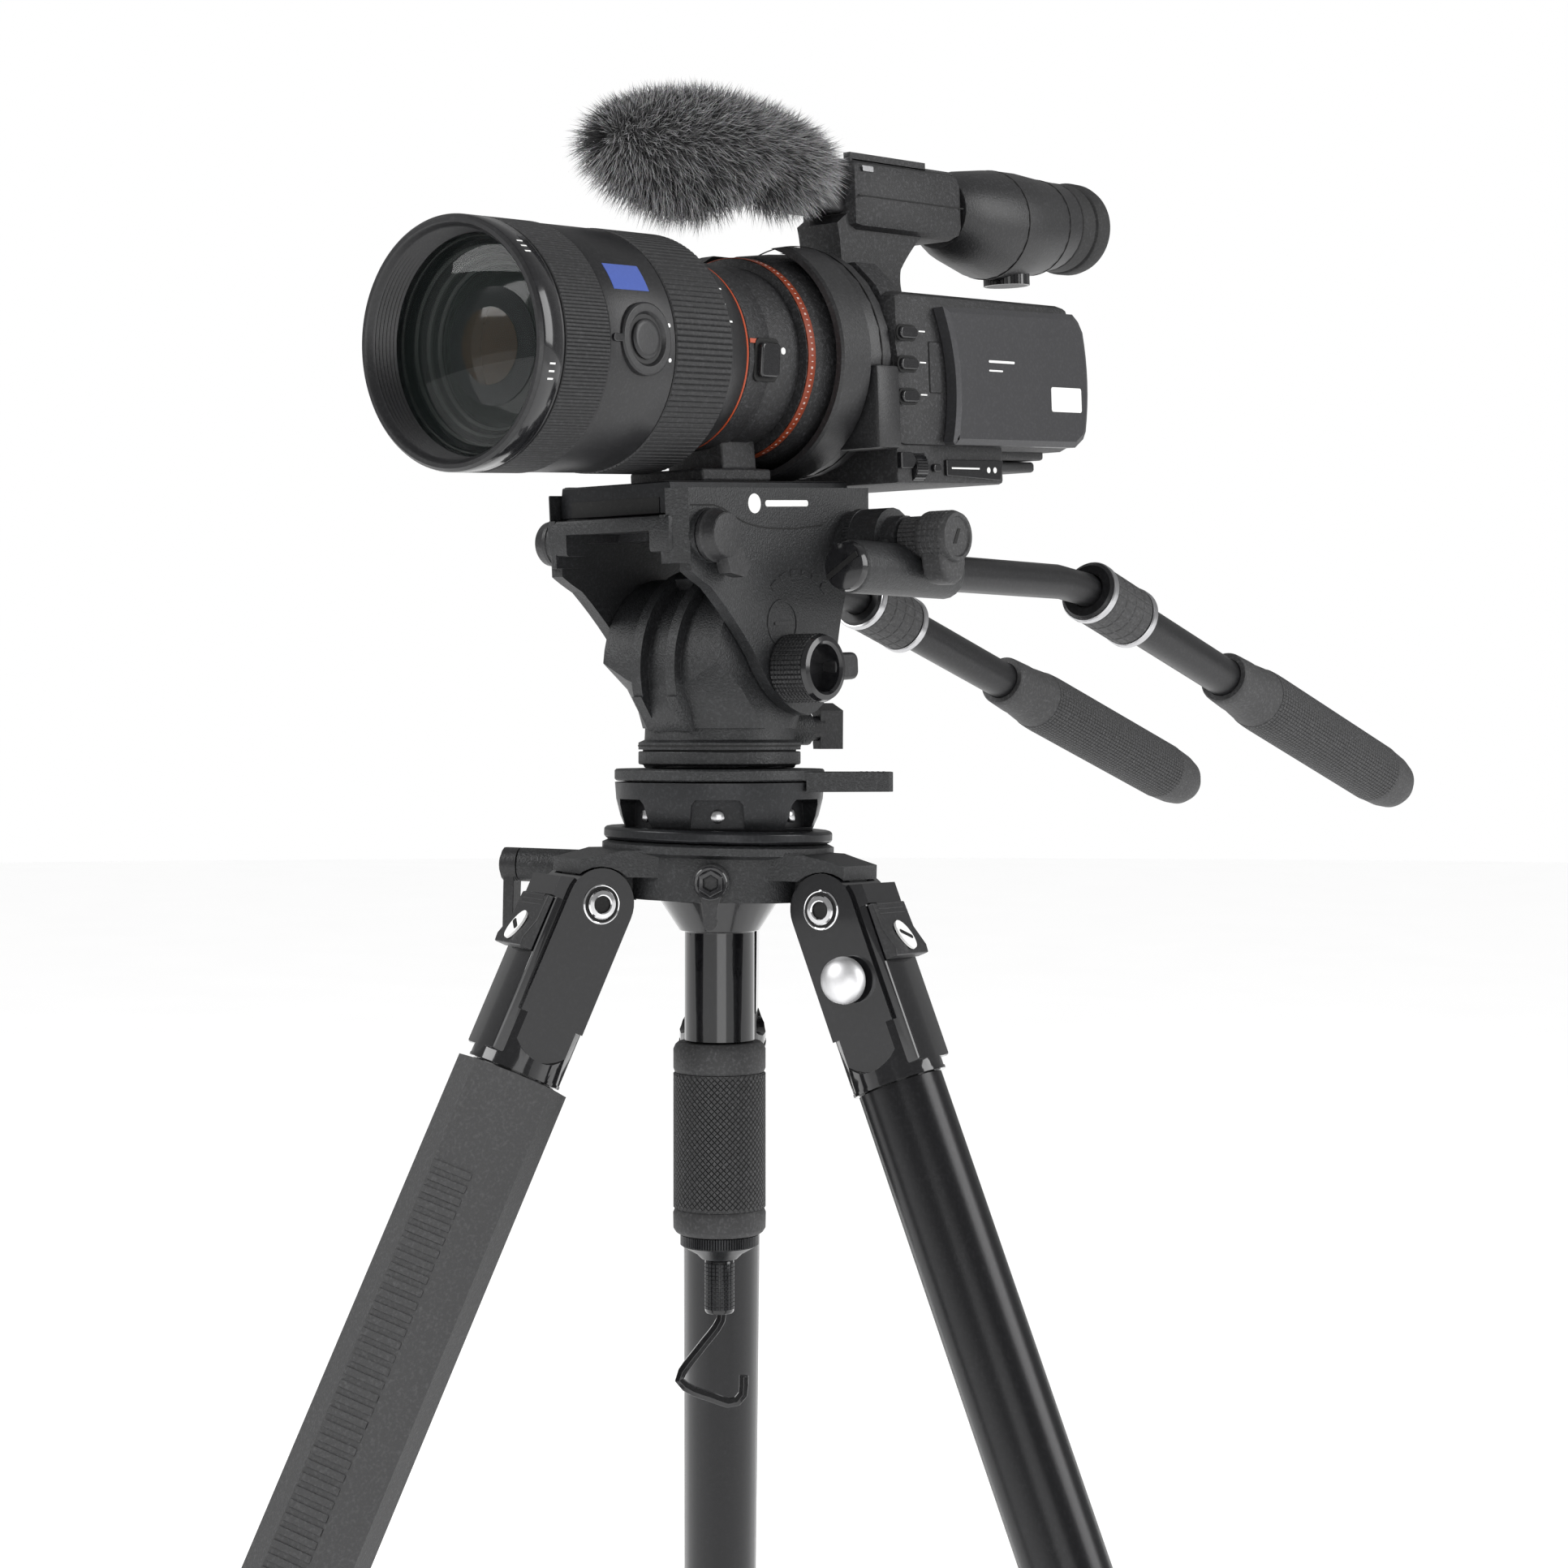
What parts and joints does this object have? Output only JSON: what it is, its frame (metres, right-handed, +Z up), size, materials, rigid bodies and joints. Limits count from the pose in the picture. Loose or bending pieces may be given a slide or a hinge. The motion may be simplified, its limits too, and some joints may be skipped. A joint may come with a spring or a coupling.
{
  "type": "camcorder on tripod",
  "caption": "Interchangeable-lens camcorder with fur-covered microphone on a two-handled fluid head, half-ball leveller and telescopic three-legged stand.",
  "frame": {"origin": "on the floor, under the middle of the object's bounding box; the pan axis stands at x = -45.4 mm, y = -56.9 mm", "axes": "+Z up, the lens looks along -Y, +X is the camcorder's own left side, where its screen door is"},
  "size_m": [0.5089, 0.7249, 0.8729],
  "materials": {
    "cast_black": "fine textured black paint on a casting",
    "gloss_black": "glossy black",
    "anodised_black": "satin black anodised",
    "rubber_grey": "matt dark grey rubber",
    "plastic_black": "fine grained black plastic",
    "panel_satin": "satin dark grey panel",
    "steel": "bright and blackened steel",
    "lens_glass": "coated optical glass",
    "fur_grey": "long-haired artificial fur"
  },
  "bodies": {
    "stand": {"spider": "cast_black", "clamp_disc": "anodised_black"},
    "hub_lever": {"hub_lever": "cast_black"},
    "column_clamp_lever": {"column_clamp_lever": "cast_black"},
    "leg1": {"leg1_bracket": "gloss_black", "leg1_upper_tube": "anodised_black", "leg_grip": "rubber_grey"},
    "leg1_angle_tab": {"leg1_angle_tab": "plastic_black"},
    "leg1_collar": {"leg1_collar": "rubber_grey"},
    "leg1_lower": {"leg1_lower_tube": "anodised_black", "leg1_foot": "rubber_grey"},
    "leg2": {"leg2_bracket": "gloss_black", "leg2_upper_tube": "anodised_black"},
    "leg2_angle_tab": {"leg2_angle_tab": "plastic_black"},
    "leg2_collar": {"leg2_collar": "rubber_grey"},
    "leg2_lower": {"leg2_lower_tube": "anodised_black", "leg2_foot": "rubber_grey"},
    "leg3": {"leg3_bracket": "gloss_black", "leg3_upper_tube": "anodised_black"},
    "leg3_angle_tab": {"leg3_angle_tab": "plastic_black"},
    "leg3_collar": {"leg3_collar": "rubber_grey"},
    "leg3_lower": {"leg3_lower_tube": "anodised_black", "leg3_foot": "rubber_grey"},
    "level_washer": {"level_washer": "steel"},
    "level": {"levelling_half_ball": "anodised_black", "centre_column": "gloss_black", "pan_base": "cast_black"},
    "column_grip": {"column_grip": "rubber_grey"},
    "bag_hook": {"bag_hook": "steel"},
    "lever_plate": {"lever_plate": "cast_black"},
    "head": {"head_body": "cast_black"},
    "pan_lock": {"pan_lock": "plastic_black"},
    "cradle": {"cradle": "cast_black"},
    "tilt_knob": {"tilt_knob": "cast_black"},
    "plate_lock": {"plate_lock": "plastic_black"},
    "camera": {"quick_plate": "anodised_black", "mount_adapter": "plastic_black", "lens_barrel": "plastic_black", "front_glass": "lens_glass", "camera_body": "plastic_black", "mount_shroud": "plastic_black", "top_handle": "plastic_black", "fur_windshield": "fur_grey", "battery": "plastic_black"},
    "left_handle": {"left_handle_clamp": "cast_black", "left_handle_rod": "anodised_black"},
    "left_handle_knob": {"left_handle_knob": "rubber_grey"},
    "left_handle_grip": {"left_handle_sleeve": "anodised_black", "left_handle_grip": "rubber_grey"},
    "right_handle": {"right_handle_clamp": "cast_black", "right_handle_rod": "anodised_black"},
    "right_handle_knob": {"right_handle_knob": "rubber_grey"},
    "right_handle_grip": {"right_handle_sleeve": "anodised_black", "right_handle_grip": "rubber_grey"},
    "focus_ring": {"focus_ring": "rubber_grey"},
    "zoom_ring": {"zoom_ring": "rubber_grey"},
    "control_dial": {"control_dial": "plastic_black"},
    "screen_door": {"screen_door": "panel_satin"},
    "viewfinder": {"viewfinder": "plastic_black", "eyecup": "rubber_grey"}
  },
  "joints": [
    {"name": "hub_lever_turn", "type": "hinge", "parent": "stand", "child": "hub_lever", "pos_m": [-0.02013, -0.09173, 0.58894], "axis": [0.6032, -0.7976, 0.0007], "range_deg": [0, 75]},
    {"name": "column_clamp_lever_turn", "type": "hinge", "parent": "stand", "child": "column_clamp_lever", "pos_m": [-0.1158, -0.08993, 0.59278], "axis": [-0.9061, -0.4224, 0.0243], "range_deg": [0, 80]},
    {"name": "leg1_fold", "type": "hinge", "parent": "stand", "child": "leg1", "pos_m": [-0.06623, -0.10491, 0.58144], "axis": [0.9211, -0.3892, -0.0119], "range_deg": [0, 22]},
    {"name": "leg1_angle_tab_pull", "type": "slide", "parent": "leg1", "child": "leg1_angle_tab", "axis": [-0.349, -0.8387, 0.4179], "range_m": [0, 0.003], "stiffness_N_per_m": 400, "springref_m": -0.001},
    {"name": "leg1_collar_twist", "type": "hinge", "parent": "leg1", "child": "leg1_collar", "pos_m": [-0.16464, -0.32197, 0.06366], "axis": [0.1727, 0.3808, 0.9084], "range_deg": [0, 90]},
    {"name": "leg1_extension", "type": "slide", "parent": "leg1", "child": "leg1_lower", "axis": [-0.1727, -0.3808, -0.9084], "range_m": [0, 0.4]},
    {"name": "leg2_fold", "type": "hinge", "parent": "stand", "child": "leg2", "pos_m": [0.00476, -0.05122, 0.57922], "axis": [-0.1237, 0.9922, -0.013], "range_deg": [0, 22]},
    {"name": "leg2_angle_tab_pull", "type": "slide", "parent": "leg2", "child": "leg2_angle_tab", "axis": [0.9179, 0.1194, 0.3783], "range_m": [0, 0.003], "stiffness_N_per_m": 400, "springref_m": -0.001},
    {"name": "leg2_collar_twist", "type": "hinge", "parent": "leg2", "child": "leg2_collar", "pos_m": [0.2196, -0.03137, 0.05163], "axis": [-0.3769, -0.0348, 0.9256], "range_deg": [0, 90]},
    {"name": "leg2_extension", "type": "slide", "parent": "leg2", "child": "leg2_lower", "axis": [0.3769, 0.0348, -0.9256], "range_m": [0, 0.4]},
    {"name": "leg3_fold", "type": "hinge", "parent": "stand", "child": "leg3", "pos_m": [-0.07724, -0.01657, 0.58028], "axis": [-0.7973, -0.603, 0.0249], "range_deg": [0, 22]},
    {"name": "leg3_angle_tab_pull", "type": "slide", "parent": "leg3", "child": "leg3_angle_tab", "axis": [-0.5456, 0.7379, 0.3972], "range_m": [0, 0.003], "stiffness_N_per_m": 400, "springref_m": -0.001},
    {"name": "leg3_collar_twist", "type": "hinge", "parent": "leg3", "child": "leg3_collar", "pos_m": [-0.22427, 0.1562, 0.05737], "axis": [0.2579, -0.3031, 0.9174], "range_deg": [0, 90]},
    {"name": "leg3_extension", "type": "slide", "parent": "leg3", "child": "leg3_lower", "axis": [-0.2579, 0.3031, -0.9174], "range_m": [0, 0.4]},
    {"name": "level_front_back", "type": "hinge", "parent": "stand", "child": "level_washer", "pos_m": [-0.0454, -0.0569, 0.6233], "axis": [1, 0, 0], "range_deg": [-4, 4]},
    {"name": "level_left_right", "type": "hinge", "parent": "level_washer", "child": "level", "pos_m": [-0.0454, -0.0569, 0.6233], "axis": [0, 1, 0], "range_deg": [-4, 4]},
    {"name": "column_grip_twist", "type": "hinge", "parent": "level", "child": "column_grip", "pos_m": [-0.0454, -0.0569, 0.4933], "axis": [0, 0, 1], "range_deg": [0, 300]},
    {"name": "bag_hook_swivel", "type": "hinge", "parent": "column_grip", "child": "bag_hook", "pos_m": [-0.0454, -0.0569, 0.4433], "axis": [0, 0, 1], "continuous": true},
    {"name": "lever_plate_turn", "type": "hinge", "parent": "level", "child": "lever_plate", "pos_m": [-0.0454, -0.0569, 0.6253], "axis": [0, 0, 1], "range_deg": [0, 40]},
    {"name": "pan", "type": "hinge", "parent": "level", "child": "head", "pos_m": [-0.0454, -0.0569, 0.643], "axis": [0, 0, 1], "continuous": true},
    {"name": "pan_lock_turn", "type": "hinge", "parent": "head", "child": "pan_lock", "pos_m": [-0.02662, -0.02158, 0.642], "axis": [0.4695, 0.8829, 0], "range_deg": [-90, 0]},
    {"name": "tilt", "type": "hinge", "parent": "head", "child": "cradle", "pos_m": [-0.0454, -0.0569, 0.663], "axis": [1, 0, 0], "range_deg": [-60, 45]},
    {"name": "tilt_lock_turn", "type": "hinge", "parent": "cradle", "child": "tilt_knob", "pos_m": [-0.0054, -0.0569, 0.663], "axis": [1, 0, 0], "range_deg": [0, 90]},
    {"name": "plate_lock_turn", "type": "hinge", "parent": "cradle", "child": "plate_lock", "pos_m": [-0.0074, -0.10177, 0.70727], "axis": [1, 0, 0], "range_deg": [0, 60]},
    {"name": "plate_slide", "type": "slide", "parent": "cradle", "child": "camera", "axis": [0, 0.998, 0.0628], "range_m": [-0.03, 0.03]},
    {"name": "left_handle_angle", "type": "hinge", "parent": "cradle", "child": "left_handle", "pos_m": [0.0046, -0.02004, 0.70941], "axis": [-1, 0, 0], "range_deg": [-12, 45]},
    {"name": "left_handle_knob_turn", "type": "hinge", "parent": "left_handle", "child": "left_handle_knob", "pos_m": [0.0226, -0.02004, 0.70941], "axis": [1, 0, 0], "range_deg": [0, 120]},
    {"name": "left_handle_telescope", "type": "slide", "parent": "left_handle", "child": "left_handle_grip", "axis": [0, 0.9563, -0.2924], "range_m": [0, 0.08]},
    {"name": "right_handle_angle", "type": "hinge", "parent": "cradle", "child": "right_handle", "pos_m": [-0.0954, -0.02004, 0.70941], "axis": [-1, 0, 0], "range_deg": [-12, 45]},
    {"name": "right_handle_knob_turn", "type": "hinge", "parent": "right_handle", "child": "right_handle_knob", "pos_m": [-0.1134, -0.02004, 0.70941], "axis": [1, 0, 0], "range_deg": [0, 120]},
    {"name": "right_handle_telescope", "type": "slide", "parent": "right_handle", "child": "right_handle_grip", "axis": [0, 0.9563, -0.2924], "range_m": [0, 0.08]},
    {"name": "focus", "type": "hinge", "parent": "camera", "child": "focus_ring", "pos_m": [-0.0454, -0.17065, 0.76686], "axis": [0, 0.998, 0.0628], "range_deg": [-60, 60]},
    {"name": "zoom", "type": "hinge", "parent": "camera", "child": "zoom_ring", "pos_m": [-0.0454, -0.11376, 0.77044], "axis": [0, 0.998, 0.0628], "range_deg": [0, 70]},
    {"name": "control_dial_turn", "type": "hinge", "parent": "camera", "child": "control_dial", "pos_m": [-0.0069, 0.00603, 0.7377], "axis": [0, 0.998, 0.0628], "continuous": true},
    {"name": "screen_door_swing", "type": "hinge", "parent": "camera", "child": "screen_door", "pos_m": [-0.0008, 0.0093, 0.77818], "axis": [0, 0.0628, -0.998], "range_deg": [0, 90]},
    {"name": "viewfinder_tilt", "type": "hinge", "parent": "camera", "child": "viewfinder", "pos_m": [-0.0454, 0.07532, 0.85949], "axis": [1, 0, 0], "range_deg": [0, 60]}
  ]
}
